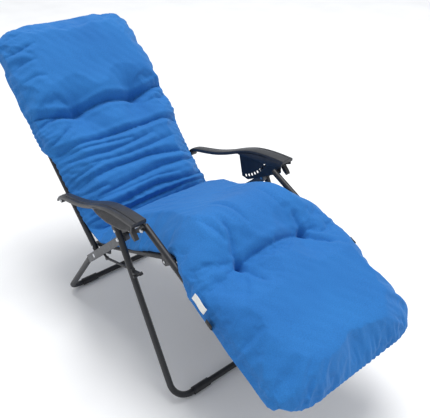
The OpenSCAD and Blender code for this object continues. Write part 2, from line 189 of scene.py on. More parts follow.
def powder_coat():
    """Black powder-coated steel tube: satin, with orange peel about 1.5 mm across and faint scuffs."""
    material, tree, bsdf = new_material("BlackPowderCoatedSteel", Roughness=0.42, IOR=1.5)
    here = add(tree, "ShaderNodeTexCoord").outputs["Object"]
    worn = add(tree, "ShaderNodeTexNoise", {"Vector": here, "Scale": 38.0, "Detail": 6.0, "Roughness": 0.7})
    tone = ramp(tree, worn.outputs["Fac"], [(0.35, linear("#15161A")), (0.72, linear("#26272C"))])
    tree.links.new(tone, bsdf.inputs["Base Color"])
    rough = add(tree, "ShaderNodeMapRange", {"Value": worn.outputs["Fac"], "To Min": 0.34, "To Max": 0.55})
    tree.links.new(rough.outputs["Result"], bsdf.inputs["Roughness"])
    peel = add(tree, "ShaderNodeTexNoise", {"Vector": here, "Scale": 660.0, "Detail": 1.0})
    bump(tree, bsdf, peel.outputs["Fac"], 0.00012, 0.5)
    return material


def moulded_nylon(name, low, high, grit=900.0, roughness=0.5):
    """Injection-moulded glass-filled nylon: an eroded texture about 1 mm across, dull, soft highlights."""
    material, tree, bsdf = new_material(name, Roughness=roughness, IOR=1.53)
    here = add(tree, "ShaderNodeTexCoord").outputs["Object"]
    mottled = add(tree, "ShaderNodeTexNoise", {"Vector": here, "Scale": 60.0, "Detail": 5.0})
    tone = ramp(tree, mottled.outputs["Fac"], [(0.3, linear(low)), (0.75, linear(high))])
    tree.links.new(tone, bsdf.inputs["Base Color"])
    pits = add(tree, "ShaderNodeTexVoronoi", {"Vector": here, "Scale": grit})
    bump(tree, bsdf, pits.outputs["Distance"], 0.0002, 0.6)
    return material


def zinc_plate():
    """Zinc-plated steel fasteners: bright grey metal with a fine turned grain about 0.5 mm apart."""
    material, tree, bsdf = new_material("ZincPlatedSteel", Metallic=1.0, Roughness=0.3)
    here = add(tree, "ShaderNodeTexCoord").outputs["Object"]
    grain = add(tree, "ShaderNodeTexNoise", {"Vector": here, "Scale": 900.0, "Detail": 2.0})
    tone = ramp(tree, grain.outputs["Fac"], [(0.3, linear("#A9ABAF")), (0.7, linear("#D5D7DA"))])
    tree.links.new(tone, bsdf.inputs["Base Color"])
    bump(tree, bsdf, grain.outputs["Fac"], 0.00006, 0.5)
    return material


def sling_mesh(colour):
    """PVC-coated polyester sling mesh: a basket weave of slick yarns 1.1 mm apart, drawn at 2.2 mm."""
    material, tree, bsdf = new_material("CoatedPolyesterSling", Roughness=0.55, IOR=1.5)
    here = add(tree, "ShaderNodeAttribute", attribute_name="cut").outputs["Vector"]
    woven = weave(tree, here, 0.0022)
    tone = ramp(tree, woven, [(0.05, linear("#0A0F1C")), (0.7, linear(colour))])
    tree.links.new(tone, bsdf.inputs["Base Color"])
    bump(tree, bsdf, woven, 0.0004, 0.8)
    return material


def elastic_cord(colour):
    """Braided elastic cord: a nylon jacket over rubber, its crossing strands about 1.5 mm long."""
    material, tree, bsdf = new_material("BraidedElasticCord", Roughness=0.7, IOR=1.5)
    here = add(tree, "ShaderNodeTexCoord").outputs["Object"]
    strands = add(tree, "ShaderNodeTexVoronoi", {"Vector": here, "Scale": 650.0})
    tone = ramp(tree, strands.outputs["Distance"], [(0.0, linear(colour)), (0.8, linear("#10141C"))])
    tree.links.new(tone, bsdf.inputs["Base Color"])
    bump(tree, bsdf, strands.outputs["Distance"], 0.0003, 0.7)
    return material


def woven_tape(name, colour, shade, pitch):
    """Flat woven tape, such as satin label stock or webbing: fine ribs across its length."""
    material, tree, bsdf = new_material(name, Roughness=0.6, IOR=1.5)
    here = add(tree, "ShaderNodeTexCoord").outputs["Object"]
    ribs = add(tree, "ShaderNodeTexWave", {"Vector": here, "Scale": math.pi / (20 * pitch), "Distortion": 0.4},
               bands_direction="DIAGONAL")
    tone = ramp(tree, ribs.outputs["Fac"], [(0.1, linear(shade)), (0.7, linear(colour))])
    tree.links.new(tone, bsdf.inputs["Base Color"])
    bump(tree, bsdf, ribs.outputs["Fac"], 0.0002, 0.6)
    return material


# ---- mesh helpers ----
def finish_mesh(bm, name, material, smooth_angle=None):
    """Turns a bmesh into an object at the origin."""
    mesh = bpy.data.meshes.new(name)
    bm.to_mesh(mesh)
    bm.free()
    obj = bpy.data.objects.new(name, mesh)
    bpy.context.scene.collection.objects.link(obj)
    mesh.materials.append(material)
    mesh.shade_smooth()
    if smooth_angle is not None:
        mesh.set_sharp_from_angle(angle=math.radians(smooth_angle))
    return obj


def coordinates(mesh):
    """The mesh's points as an array."""
    co = np.empty(len(mesh.vertices) * 3, np.float32)
    mesh.vertices.foreach_get("co", co)
    return co.reshape(-1, 3).astype(float)


def set_coordinates(mesh, co):
    """Moves the mesh's points."""
    mesh.vertices.foreach_set("co", np.ascontiguousarray(co, np.float32).ravel())
    mesh.update()


def keep_flat(mesh, flat):
    """Stores each point's place on the uncut cloth, which the weave follows."""
    attribute = mesh.attributes.new("cut", "FLOAT_VECTOR", "POINT")
    attribute.data.foreach_set("vector", np.ascontiguousarray(flat, np.float32).ravel())


def smoothstep(x, low, high):
    """0 below low, 1 above high and smooth between."""
    t = np.clip((x - low) / (high - low), 0, 1)
    return t * t * (3 - 2 * t)


def wander(u, v, seed, count=5):
    """A smooth wandering value near -1..1, the same each run."""
    draws = np.random.RandomState(seed)
    total = 0
    for _ in range(count):
        fu, fv, phase = draws.uniform(-1, 1), draws.uniform(-1, 1), draws.uniform(0, 2 * math.pi)
        total = total + np.sin(u * fu * 2 * math.pi + v * fv * 2 * math.pi + phase)
    return total / math.sqrt(count)


# ---- the pad's path along back, seat and leg rest ----
def corner(p, d, q, e):
    """Where the line through p along d meets the line through q along e."""
    t = np.linalg.solve(np.array((d, -e)).T, q - p)
    return p + t[0] * d


PAD_LIFT = 0.012
LEG_LIFT = KNEE_LUG + 0.012
CREASE_BEND = 0.115
KNEE_BEND = 0.050
PAD_CREASE = corner(BACK_HINGE + PAD_LIFT * BACK_UP, BACK_DIR, BACK_HINGE + PAD_LIFT * SEAT_UP, SEAT_DIR)
PAD_KNEE = corner(BACK_HINGE + PAD_LIFT * SEAT_UP, SEAT_DIR, KNEE_HINGE + LEG_LIFT * LEG_UP, LEG_DIR)
CREASE_TURN = BACK_ANGLE + SEAT_ANGLE
KNEE_TURN = SEAT_ANGLE + LEG_ANGLE
CREASE_TRIM = CREASE_BEND * math.tan(CREASE_TURN / 2)
KNEE_TRIM = KNEE_BEND * math.tan(KNEE_TURN / 2)
HEAD_END = BACK_HINGE + PAD_LIFT * BACK_UP + (BACK_LEN + 0.046) * BACK_DIR
FOOT_END = KNEE_HINGE + LEG_LIFT * LEG_UP + (LEG_LEN + 0.044) * LEG_DIR
S_CREASE_IN = float(np.hypot(*(HEAD_END - PAD_CREASE))) - CREASE_TRIM
S_CREASE_OUT = S_CREASE_IN + CREASE_BEND * CREASE_TURN
S_CREASE = (S_CREASE_IN + S_CREASE_OUT) / 2
S_KNEE_IN = S_CREASE_OUT + float(np.hypot(*(PAD_KNEE - PAD_CREASE))) - CREASE_TRIM - KNEE_TRIM
S_KNEE_OUT = S_KNEE_IN + KNEE_BEND * KNEE_TURN
S_KNEE = (S_KNEE_IN + S_KNEE_OUT) / 2
S_FOOT = S_KNEE_OUT + float(np.hypot(*(FOOT_END - PAD_KNEE))) - KNEE_TRIM


def bend_pad(flat):
    """Lays flat pad points (along, across, above) on the chair's side profile."""
    s, z = flat[:, 0], flat[:, 2]
    out = np.empty_like(flat)
    out[:, 1] = flat[:, 1]

    def lay(mask, start, angle):
        d, n = ray(angle), ray(angle + math.pi / 2)
        p = start[0] + np.outer(s[mask] - start[1], d) + np.outer(z[mask], n)
        out[mask, 0], out[mask, 2] = p[:, 0] - MID_X, p[:, 1]

    def turn(mask, centre, radius, start_angle, sign, s0):
        a = start_angle + sign * (s[mask] - s0) / radius
        reach = radius - sign * z[mask]
        out[mask, 0] = centre[0] + reach * np.cos(a) - MID_X
        out[mask, 2] = centre[1] + reach * np.sin(a)

    back_in = PAD_CREASE + CREASE_TRIM * BACK_DIR
    knee_in = PAD_KNEE - KNEE_TRIM * SEAT_DIR
    lay(s <= S_CREASE_IN, (back_in, S_CREASE_IN), -BACK_ANGLE)
    turn((s > S_CREASE_IN) & (s < S_CREASE_OUT), back_in + CREASE_BEND * BACK_UP, CREASE_BEND,
         -math.pi / 2 - BACK_ANGLE, 1, S_CREASE_IN)
    lay((s >= S_CREASE_OUT) & (s <= S_KNEE_IN), (knee_in, S_KNEE_IN), SEAT_ANGLE)
    turn((s > S_KNEE_IN) & (s < S_KNEE_OUT), knee_in - KNEE_BEND * SEAT_UP, KNEE_BEND,
         math.pi / 2 + SEAT_ANGLE, -1, S_KNEE_IN)
    lay(s >= S_KNEE_OUT, (PAD_KNEE + KNEE_TRIM * LEG_DIR, S_KNEE_OUT), -LEG_ANGLE)
    return out


# Tufts as (along, across) on the flat pad
BACK_TUFTS = [(S_CREASE - 0.437, -0.118), (S_CREASE - 0.437, 0.118)]
LEG_TUFTS = [(S_KNEE + 0.128, -0.124), (S_KNEE + 0.128, 0.124)]


def table_value(s, stops):
    """Smooth value along the pad from (along, value) stops."""
    at, value = np.array(stops).T
    i = np.clip(np.searchsorted(at, s) - 1, 0, len(at) - 2)
    t = np.clip((s - at[i]) / (at[i + 1] - at[i]), 0, 1)
    t = t * t * (3 - 2 * t)
    return value[i] * (1 - t) + value[i + 1] * t


def pad_thickness(s, full):
    """Thickness of the filled pad before it swells."""
    return full * table_value(s, [
        (0.0, 0.70), (0.05, 0.98), (0.20, 1.05), (S_CREASE - 0.48, 0.96), (S_CREASE - 0.437, 0.78),
        (S_CREASE - 0.40, 0.90), (S_CREASE - 0.25, 0.86), (S_CREASE - 0.06, 0.66), (S_CREASE, 0.30),
        (S_CREASE + 0.05, 0.80), (S_CREASE + 0.16, 1.10), (S_KNEE - 0.05, 1.05), (S_KNEE + 0.128, 0.98),
        (S_KNEE + 0.24, 1.12), (S_FOOT - 0.10, 1.10), (S_FOOT, 0.78)])


def pad_half_width(s):
    """Half the pad's width along its length; it is drawn in beside the leg rest's side tubes."""
    return table_value(s, [
        (0.0, 0.258), (0.04, 0.270), (0.12, 0.274), (0.23, 0.282), (S_CREASE - 0.437, 0.276),
        (S_CREASE - 0.36, 0.277), (S_CREASE - 0.29, 0.262), (S_CREASE - 0.15, 0.261), (S_CREASE, 0.256),
        (S_KNEE - 0.20, 0.256), (S_KNEE - 0.120, 0.243), (S_KNEE - 0.010, 0.243), (S_KNEE + 0.06, 0.268),
        (S_KNEE + 0.13, 0.279), (S_KNEE + 0.25, 0.279), (S_FOOT - 0.06, 0.279), (S_FOOT, 0.271)])


def raw_pad(full):
    """The filled pad laid flat, as a rounded slab of the cover's plan."""
    bm = bmesh.new()
    bmesh.ops.create_cube(bm, size=2.0)
    bmesh.ops.subdivide_edges(bm, edges=bm.edges[:], cuts=3, use_grid_fill=True)
    long_edges = [e for e in bm.edges if abs(e.verts[0].co.x - e.verts[1].co.x) > 0.1]
    bmesh.ops.subdivide_edges(bm, edges=long_edges, cuts=40, use_grid_fill=True)
    wide_edges = [e for e in bm.edges if abs(e.verts[0].co.y - e.verts[1].co.y) > 0.1]
    bmesh.ops.subdivide_edges(bm, edges=wide_edges, cuts=9, use_grid_fill=True)
    co = np.array([v.co for v in bm.verts])
    a, b, c = co.T
    s = (a + 1) / 2 * S_FOOT
    corner_in = 0.04 * np.abs(b) ** 8
    s = np.where(a < 0, s + corner_in * (1 - smoothstep(s, 0.0, 0.2)),
                 s - corner_in * (1 - smoothstep(S_FOOT - s, 0.0, 0.2)))
    half = pad_half_width(s) * (1 - 0.06 * np.abs(a) ** 60) * (1 - 0.10 * np.maximum(c, 0) ** 2)
    thick = pad_thickness(s, full) * (1 - 0.34 * np.abs(b) ** 6) * (1 - 0.25 * np.abs(a) ** 40)
    height = np.where(c > 0, thick * (0.30 + 0.70 * c), thick * 0.30 * (1 + c))
    for v, p in zip(bm.verts, np.stack((s, b * half, height), 1)):
        v.co = p
    return bm


def dimple(s, y, points, depth, radius):
    """Depth of the dents that the tufts pull, at each point."""
    out = np.zeros_like(s)
    for ps, py in points:
        out = np.maximum(out, depth * np.exp(-np.hypot(s - ps, y - py) / radius))
    return out


def inflate(obj, pinned, pressure, cap, frames=20):
    """Swells a closed cloth form with air pressure, then keeps the result with each point's travel capped."""
    scene = bpy.context.scene
    group = obj.vertex_groups.new(name="held")
    group.add([int(i) for i in np.flatnonzero(pinned)], 1.0, "REPLACE")
    cloth = obj.modifiers.new("Swell", "CLOTH")
    cloth.settings.quality = 4
    cloth.settings.mass = 0.3
    cloth.settings.tension_stiffness = 12
    cloth.settings.compression_stiffness = 8
    cloth.settings.shear_stiffness = 3
    cloth.settings.bending_stiffness = 0.3
    cloth.settings.shrink_min = -0.045
    cloth.settings.use_pressure = True
    cloth.settings.uniform_pressure_force = pressure
    cloth.settings.vertex_group_mass = "held"
    cloth.settings.effector_weights.gravity = 0
    cloth.collision_settings.use_collision = False
    cloth.point_cache.frame_start = 1
    cloth.point_cache.frame_end = frames
    rest = coordinates(obj.data)
    for f in range(1, frames + 1):
        scene.frame_set(f)
    posed = obj.evaluated_get(bpy.context.evaluated_depsgraph_get())
    moved = coordinates(posed.data) - rest
    obj.modifiers.remove(cloth)
    obj.vertex_groups.clear()
    scene.frame_set(1)
    length = np.linalg.norm(moved, axis=1, keepdims=True)
    set_coordinates(obj.data, rest + moved * np.minimum(1, cap / np.maximum(length, 1e-9)))


def apply_modifier(obj, kind, **settings):
    """Adds a modifier, applies it, and leaves the plain mesh."""
    modifier = obj.modifiers.new("step", kind)
    for key, value in settings.items():
        setattr(modifier, key, value)
    posed = obj.evaluated_get(bpy.context.evaluated_depsgraph_get())
    mesh = bpy.data.meshes.new_from_object(posed)
    obj.modifiers.remove(modifier)
    old = obj.data
    obj.data = mesh
    bpy.data.meshes.remove(old)


def crease(s, y, points, depth, width, taper=0.5):
    """A sharp crease with soft shoulders along a line of (along, across) points, fading at its ends."""
    points = np.array(points, float)
    nearest, share = np.full(len(s), 9.0), np.zeros(len(s))
    spans = np.hypot(*(points[1:] - points[:-1]).T)
    run, total = 0.0, spans.sum()
    for p, q, span in zip(points[:-1], points[1:], spans):
        d = (q - p) / span
        t = np.clip((s - p[0]) * d[0] + (y - p[1]) * d[1], 0, span)
        away = np.hypot(s - p[0] - t * d[0], y - p[1] - t * d[1])
        closer = away < nearest
        nearest = np.where(closer, away, nearest)
        share = np.where(closer, (run + t) / total, share)
        run += span
    fade = np.clip(4 * share * (1 - share), 0, 1) ** taper if taper else 1.0
    groove = -1.25 * depth * np.exp(-nearest / (0.62 * width))
    shoulder = 0.30 * depth * np.exp(-((nearest / width - 1.9) / 0.9) ** 2)
    return (groove + shoulder) * fade


# Creases across the lower back: (up from the seat crease, across) points in metres, depth, width and taper
BACK_FOLDS = [
    ([(0.312, -0.26), (0.318, -0.17), (0.314, -0.03), (0.320, 0.08), (0.316, 0.17), (0.304, 0.26)],
     0.012, 0.011, 0.3),
    ([(0.298, -0.26), (0.297, -0.17), (0.292, -0.10), (0.282, 0.02)], 0.008, 0.009, 0.5),
    ([(0.284, -0.26), (0.262, -0.18), (0.256, -0.10), (0.266, 0.01), (0.276, 0.11)], 0.008, 0.010, 0.5),
    ([(0.238, -0.22), (0.228, -0.10), (0.232, 0.06), (0.246, 0.22)], 0.006, 0.010, 0.6),
    ([(0.166, -0.26), (0.182, -0.19), (0.198, -0.09), (0.200, 0.04), (0.184, 0.17), (0.176, 0.26)],
     0.010, 0.012, 0.3),
    ([(0.208, -0.27), (0.214, -0.20), (0.224, -0.14)], 0.006, 0.008, 0.5),
    ([(0.118, -0.20), (0.136, -0.06), (0.148, 0.08), (0.150, 0.26)], 0.010, 0.012, 0.3),
    ([(0.150, -0.27), (0.142, -0.20), (0.146, -0.14)], 0.006, 0.008, 0.5),
    ([(0.108, -0.27), (0.112, -0.12), (0.118, 0.04), (0.110, 0.14)], 0.006, 0.010, 0.5),
    ([(0.072, -0.24), (0.078, -0.10), (0.090, 0.04), (0.080, 0.17), (0.084, 0.27)], 0.010, 0.012, 0.3),
    ([(0.048, -0.26), (0.044, -0.06), (0.056, 0.12), (0.050, 0.26)], 0.008, 0.010, 0.3),
    ([(0.343, -0.27), (0.362, -0.22), (0.390, -0.17)], 0.006, 0.009, 0.5),
    ([(0.420, -0.27), (0.436, -0.23), (0.438, -0.18)], 0.006, 0.008, 0.5),
    ([(0.400, 0.14), (0.404, 0.20), (0.398, 0.27)], 0.004, 0.009, 0.5),
    ([(0.588, -0.26), (0.592, -0.21), (0.584, -0.17)], 0.004, 0.008, 0.5),
    ([(0.640, -0.27), (0.652, -0.22), (0.644, -0.18)], 0.004, 0.009, 0.5),
    ([(0.700, -0.27), (0.694, -0.22), (0.702, -0.16)], 0.006, 0.010, 0.5),
]
# The deep line through the two tufts, which the head pillow hangs over
TUFT_LINE = [(0.462, -0.27), (0.446, -0.20), (0.433, -0.135), (0.437, -0.118), (0.442, -0.06), (0.446, 0.0),
             (0.442, 0.07), (0.437, 0.118), (0.446, 0.17), (0.462, 0.26)]
# Pulls round the leg rest's tufts and slanting wrinkles over the knee, as (down from the knee, across)
LEG_FOLDS = [
    ([(0.128, -0.124), (0.122, -0.09), (0.119, -0.03), (0.117, 0.04), (0.121, 0.08), (0.130, 0.124)],
     0.010, 0.013, 0.0),
    ([(0.128, -0.124), (0.092, -0.122), (0.066, -0.112), (0.020, -0.106)], 0.009, 0.010, 0.0),
    ([(0.128, -0.124), (0.172, -0.114), (0.190, -0.106)], 0.007, 0.010, 0.0),
    ([(0.130, 0.124), (0.110, 0.130), (0.074, 0.132)], 0.008, 0.010, 0.0),
    ([(0.130, 0.124), (0.126, 0.160)], 0.006, 0.010, 0.0),
    ([(0.130, 0.124), (0.162, 0.140), (0.190, 0.166)], 0.007, 0.010, 0.0),
    ([(0.128, -0.124), (0.132, -0.165)], 0.005, 0.010, 0.0),
    ([(-0.040, -0.070), (0.002, -0.046), (0.046, -0.036)], 0.0050, 0.009, 0.6),
    ([(-0.012, -0.156), (0.022, -0.138), (0.064, -0.130)], 0.0060, 0.010, 0.6),
    ([(-0.046, -0.262), (-0.014, -0.242), (0.026, -0.226)], 0.0075, 0.010, 0.6),
    ([(-0.020, 0.092), (0.020, 0.100), (0.048, 0.112)], 0.0030, 0.010, 0.6),
]


def pad_folds(flat):
    """Sculpts the cover's creases, gathers and tuft pulls onto the upper side of the swollen pad."""
    s, y, z = flat.T
    up = smoothstep(z, 0.008, 0.030)
    b, leg, to_foot = S_CREASE - s, s - S_KNEE, S_FOOT - s
    side = np.abs(y) / pad_half_width(s)
    wave = s + 0.004 * wander(y * 5, s * 4, 3)
    across = y + 0.003 * wander(y * 4, s * 7, 4)
    lift = np.zeros_like(s)
    for points, depth, width, taper in BACK_FOLDS:
        lift += crease(wave, across, [(S_CREASE - p, q) for p, q in points], 1.25 * depth, width, taper)
    lift += crease(wave, across, [(S_CREASE - p, q) for p, q in TUFT_LINE], 0.018, 0.013, 0.0)
    for points, depth, width, taper in LEG_FOLDS:
        lift += crease(wave, across, [(S_KNEE + p, q) for p, q in points], depth, width, taper)
    for ps, py in BACK_TUFTS + LEG_TUFTS:
        lift -= 0.013 * np.exp(-np.hypot(s - ps, y - py) / 0.016)

    # The head pillow bulges over the tuft line, and the lower back swells between its folds
    lift += 0.011 * np.exp(-((b - 0.505) / 0.050) ** 2) * (1 - side ** 4)
    lift += 0.006 * np.exp(-((b - 0.375) / 0.040) ** 2) * (1 - side ** 4)
    lift += 0.005 * smoothstep(b, 0.02, 0.07) * (1 - smoothstep(b, 0.27, 0.32)) * (1 - side ** 4)
    # Rolled top edge of the head pillow
    lift += -0.004 * np.exp(-np.abs(s - 0.060 - 0.004 * wander(y * 3, 0 * y, 31)) / 0.012)

    # Fine gathers where the cover is drawn in at both sides
    fine = np.abs(np.sin(math.pi * (b + 0.20 * np.abs(y) + 0.006 * wander(y * 7, b * 6, 21)) / 0.021)) - 0.6
    drawn = smoothstep(side, 0.70, 0.95) * smoothstep(b, 0.02, 0.08) * (1 - smoothstep(b, 0.34, 0.48))
    lift += 0.0040 * fine * drawn
    # Puckers along the gathered foot hem and at its corners
    pucker = np.abs(np.sin(math.pi * (y + 0.006 * wander(y * 16, to_foot * 4, 41)) / 0.019)) - 0.55
    hem = (1 - smoothstep(to_foot, 0.008, 0.070)) * (0.65 + 0.35 * wander(y * 6, 0 * y, 42))
    lift += 0.0050 * pucker * hem
    # Faint unevenness of the filling everywhere
    lift += 0.0018 * wander(s * 6, y * 6, 51, 7) + 0.0006 * wander(s * 26, y * 26, 52, 7)

    out = flat.copy()
    out[:, 2] += lift * up
    sides = smoothstep(side, 0.90, 1.0)
    out[:, 1] += np.sign(y) * (0.0030 * fine * smoothstep(b, 0.02, 0.08) * (1 - smoothstep(b, 0.40, 0.60))
                               + 0.0015 * wander(s * 12, z * 20, 61)) * sides
    out[:, 0] += 0.0040 * pucker * hem * smoothstep(-to_foot, -0.02, 0.0)
    # Piping sewn into the seam half-way up the sides, raised from the cover
    seam = 0.0032 * np.exp(-((z - 0.021 - 0.002 * wander(s * 7, 0 * s, 71)) / 0.0030) ** 2)
    out[:, 1] += np.sign(y) * seam * smoothstep(side, 0.93, 0.99)
    out[:, 0] += seam * smoothstep(-to_foot, -0.012, -0.002)
    return out


def drape_rim(co):
    """Lets the pad's long edges hang outside the side tubes, clear of the armrests and the knee."""
    co = co.copy()
    s, y, z = co.T
    free = (1 - smoothstep(s, S_CREASE - 0.37, S_CREASE - 0.31)) + smoothstep(s, S_KNEE + 0.05, S_KNEE + 0.12)
    low = 1 - smoothstep(z, 0.006, 0.036)
    outside = smoothstep(np.abs(y), FRAME_Y + TUBE_R - 0.001, FRAME_Y + TUBE_R + 0.004)
    co[:, 2] -= 0.020 * free * low * outside
    return co


def cut_pad(whole, flat_whole, low, high, name, material):
    """Cuts one closed piece out of the flat pad between two places along it, then bends it to the chair."""
    bm = bmesh.new()
    bm.from_mesh(whole)
    layer = bm.verts.layers.float_vector.new("cut")
    bm.verts.ensure_lookup_table()
    for v, p in zip(bm.verts, flat_whole):
        v[layer] = p
    for at, normal in ((low, -1), (high, 1)):
        if at is None:
            continue
        cut = bmesh.ops.bisect_plane(bm, geom=bm.verts[:] + bm.edges[:] + bm.faces[:], dist=1e-6,
                                     plane_co=(at, 0, 0), plane_no=(normal, 0, 0), clear_outer=True)
        rim = [e for e in cut["geom_cut"] if isinstance(e, bmesh.types.BMEdge)]
        for e in rim:
            e.smooth = False
        bmesh.ops.holes_fill(bm, edges=rim, sides=0)
    bmesh.ops.triangulate(bm, faces=[f for f in bm.faces if len(f.verts) > 4])
    obj = finish_mesh(bm, name, material)
    set_coordinates(obj.data, bend_pad(coordinates(obj.data)))
    return obj


def build_pad(name_stem, full, material):
    """Makes the whole pad once: remesh, swell, subdivide and sculpt."""
    rough = finish_mesh(raw_pad(full), name_stem, material)
    apply_modifier(rough, "SUBSURF", levels=2, render_levels=2, subdivision_type="SIMPLE")
    apply_modifier(rough, "REMESH", mode="VOXEL", voxel_size=0.006)
    co = coordinates(rough.data)
    s, y, z = co.T
    dent = dimple(s, y, BACK_TUFTS, 0.030, 0.030) + dimple(s, y, LEG_TUFTS, 0.026, 0.030)
    co[:, 2] -= np.minimum(dent, np.maximum(z - 0.012, 0)) * (z > 0.012)
    set_coordinates(rough.data, co)
    tufts = np.zeros(len(co), bool)
    for ps, py in BACK_TUFTS + LEG_TUFTS:
        tufts |= (np.hypot(s - ps, y - py) < 0.011) & (z > 0.012)
    crease = (np.abs(s - S_CREASE) < 0.008) & (z > 0.006)
    inflate(rough, (z < 0.004) | tufts | crease, 4.0, 0.026)
    apply_modifier(rough, "SUBSURF", levels=1, render_levels=1)
    flat = coordinates(rough.data)
    swollen = pad_folds(flat)
    swollen[:, 2] = np.maximum(swollen[:, 2], -0.002)
    set_coordinates(rough.data, drape_rim(swollen))
    return rough, flat


# ---- settings ----
class PadSettings(bpy.types.PropertyGroup):
    """Sizes and colours of the pad."""

    full: bpy.props.FloatProperty(name="Thickness", description="Thickness of the filled pad before it swells",
                                  default=0.058, min=0.03, max=0.09, unit="LENGTH")
    light: bpy.props.StringProperty(name="Light blue", description="Cover colour, as sRGB hex", default="#2C7AC4")
    dark: bpy.props.StringProperty(name="Deep blue", description="Cover colour in its duller patches, as sRGB hex",
                                   default="#2670BA")


class FrameSettings(bpy.types.PropertyGroup):
    """Sizes and colours of the slings and lacing."""

    sag: bpy.props.FloatProperty(name="Sling sag", description="How far the slings hang at their middle",
                                 default=0.009, min=0.0, max=0.02, unit="LENGTH")
    cord: bpy.props.FloatProperty(name="Lacing diameter", description="Diameter of the elastic lacing",
                                  default=0.003, min=0.002, max=0.005, unit="LENGTH")
    colour: bpy.props.StringProperty(name="Sling colour", description="Sling colour, as sRGB hex", default="#1F3A66")


class StageSettings(bpy.types.PropertyGroup):
    """The floor, lights and camera."""

    lens: bpy.props.FloatProperty(name="Lens", description="Camera focal length in millimetres", default=48.94)
    floor: bpy.props.StringProperty(name="Floor", description="Floor colour, as sRGB hex", default="#F4F4F4")


# ---- operators ----
class RECLINER_OT_stage(bpy.types.Operator):
    """Add the pale floor, the studio lights and the camera"""

    bl_idname = "recliner.stage"
    bl_label = "Stage"

    def execute(self, context):
        settings = context.scene.recliner_stage
        scene = context.scene
        camera = bpy.data.objects.new("Camera", bpy.data.cameras.new("Camera"))
        scene.collection.objects.link(camera)
        camera.location = (1.3305, -0.9961, 1.4609)
        camera.rotation_euler = (math.radians(58.49), 0, math.radians(49.81))
        camera.data.sensor_width = 36
        camera.data.lens = settings.lens
        camera.data.clip_start = 0.02
        scene.camera = camera

        material, tree, bsdf = new_material("PaintedFloor", Roughness=0.9)
        here = add(tree, "ShaderNodeTexCoord").outputs["Object"]
        speck = add(tree, "ShaderNodeTexNoise", {"Vector": here, "Scale": 3.0, "Detail": 2.0})
        tone = ramp(tree, speck.outputs["Fac"], [(0.3, linear(settings.floor)), (0.7, linear("#FAFAFA"))])
        tree.links.new(tone, bsdf.inputs["Base Color"])
        bm = bmesh.new()
        bmesh.ops.create_grid(bm, x_segments=4, y_segments=4, size=40.0)
        floor = finish_mesh(bm, "floor", material)

        world = bpy.data.worlds.new("Studio")
        scene.world = world
        world.use_nodes = True
        world.node_tree.nodes["Background"].inputs["Color"].default_value = linear("#F7FAFF")
        world.node_tree.nodes["Background"].inputs["Strength"].default_value = 0.60
        for name, place_at, size, power, aim in (
            ("key_light", (-0.6, 1.4, 9.0), 5.0, 620, (0.05, 0, 0.4)),
            ("fill_light", (2.8, 0.6, 2.4), 2.0, 14, (0, 0, 0.5)),
            ("side_light", (-2.4, -1.6, 2.0), 1.6, 8, (0, 0, 0.6)),
        ):
            light = bpy.data.lights.new(name, "AREA")
            light.size = size
            light.energy = power
            obj = bpy.data.objects.new(name, light)
            scene.collection.objects.link(obj)
            obj.location = place_at
            obj.rotation_euler = (Vector(aim) - Vector(place_at)).to_track_quat("-Z", "Y").to_euler()
        scene.view_settings.view_transform = "Standard"
        return {"FINISHED"}


class RECLINER_OT_finishes(bpy.types.Operator):
    """Give the frame's own parts their metal and plastic finishes"""

    bl_idname = "recliner.finishes"
    bl_label = "Frame finishes"

    def execute(self, context):
        steel = powder_coat()
        zinc = zinc_plate()
        plastic = moulded_nylon("BlackMouldedNylon", "#18191B", "#26272A")
        grey = moulded_nylon("GreyMouldedNylon", "#3C3E41", "#54565A", 700.0, 0.45)
        for name, node in NODES.items():
            if "bolt" in name or "lever_pin" in name:
                material = zinc
            elif "sleeve" in name or "cap" in name or "lever" in name or "clip" in name:
                material = plastic
            elif name.startswith("rear_arm"):
                material = grey
            else:
                material = steel
            node.data.materials.clear()
            node.data.materials.append(material)
            weld = node.modifiers.new("Weld", "WELD")
            weld.merge_threshold = 1e-5
            node.data.shade_smooth()
            split = node.modifiers.new("Edges", "EDGE_SPLIT")
            split.split_angle = math.radians(32)
        return {"FINISHED"}


